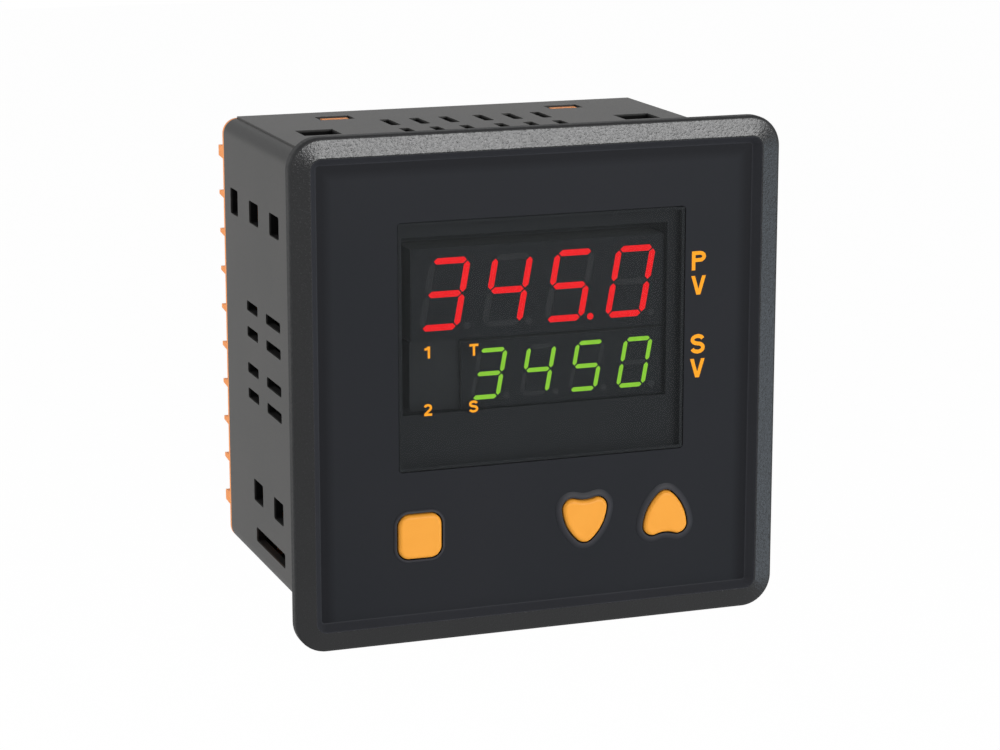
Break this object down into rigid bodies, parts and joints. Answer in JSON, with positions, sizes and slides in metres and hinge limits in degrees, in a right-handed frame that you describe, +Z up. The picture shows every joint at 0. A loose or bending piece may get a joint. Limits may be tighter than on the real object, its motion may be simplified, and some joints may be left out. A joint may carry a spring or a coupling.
{
  "type": "panel-mount temperature controller",
  "caption": "Square panel-mount PID temperature controller with a smoked display window, sprung front keys, a vented case with clamp slots and rear screw terminals.",
  "frame": {"origin": "on the case's axis, in the plane of the bezel's rear face that seats on the panel; the bezel's own middle is 0.5 mm lower", "axes": "+X to the right seen from the front, +Y back through the panel along the case, +Z up"},
  "size_m": [0.096, 0.0651, 0.096],
  "materials": {
    "bezel_plastic": "satin with a fine spark-eroded grain",
    "overlay_film": "matt printed film",
    "smoked_window": "clear smoked, glossy",
    "key_plastic": "matt silicone-like orange",
    "switch_plastic": "satin",
    "plunger_plastic": "satin",
    "board_laminate": "solder mask",
    "screw_steel": "zinc plated",
    "display_potting": "matt face",
    "lamp_lens": "clear",
    "case_plastic": "fine moulded grain",
    "cover_plastic": "satin",
    "terminal_brass": "tinned edges",
    "clamp_steel": "zinc plated",
    "header_plastic": "satin",
    "ferrite": "matt",
    "winding_tape": "taped",
    "can_sleeve": "sleeved",
    "relay_plastic": "satin",
    "fuse_glass": "clear",
    "varistor_coating": "dipped",
    "chip_resin": "matt",
    "crystal_can": "drawn can"
  },
  "bodies": {
    "case": {"front_bezel": "bezel_plastic", "front_overlay": "overlay_film", "display_window": "smoked_window", "mode_switch": "switch_plastic", "down_switch": "switch_plastic", "up_switch": "switch_plastic", "display_board": "board_laminate", "board_screws": "screw_steel", "pv_display": "display_potting", "sv_display": "display_potting", "lamp_baffle": "display_potting", "output_lamp": "lamp_lens", "alarm_lamp": "lamp_lens", "tune_lamp": "lamp_lens", "soak_lamp": "lamp_lens", "rear_case": "case_plastic", "terminal_cover": "cover_plastic", "left_lugs": "terminal_brass", "right_lugs": "terminal_brass", "terminal_clamps": "clamp_steel", "terminal_screws": "screw_steel", "power_board": "board_laminate", "control_board": "board_laminate", "power_header": "header_plastic", "control_header": "header_plastic", "transformer_core": "ferrite", "transformer_winding": "winding_tape", "bulk_capacitor": "can_sleeve", "output_relay": "relay_plastic", "alarm_relay": "relay_plastic", "mains_fuse": "fuse_glass", "surge_varistor": "varistor_coating", "rectifier": "chip_resin", "processor": "chip_resin", "crystal": "crystal_can", "input_amplifier": "chip_resin"},
    "mode_button": {"mode_key": "key_plastic", "mode_plunger": "plunger_plastic"},
    "down_button": {"down_key": "key_plastic", "down_plunger": "plunger_plastic"},
    "up_button": {"up_key": "key_plastic", "up_plunger": "plunger_plastic"}
  },
  "joints": [
    {"name": "mode_press", "type": "slide", "parent": "case", "child": "mode_button", "axis": [0, 1, 0], "range_m": [0, 0.0005], "stiffness_N_per_m": 1000, "springref_m": -0.0008},
    {"name": "down_press", "type": "slide", "parent": "case", "child": "down_button", "axis": [0, 1, 0], "range_m": [0, 0.0005], "stiffness_N_per_m": 1000, "springref_m": -0.0008},
    {"name": "up_press", "type": "slide", "parent": "case", "child": "up_button", "axis": [0, 1, 0], "range_m": [0, 0.0005], "stiffness_N_per_m": 1000, "springref_m": -0.0008}
  ]
}
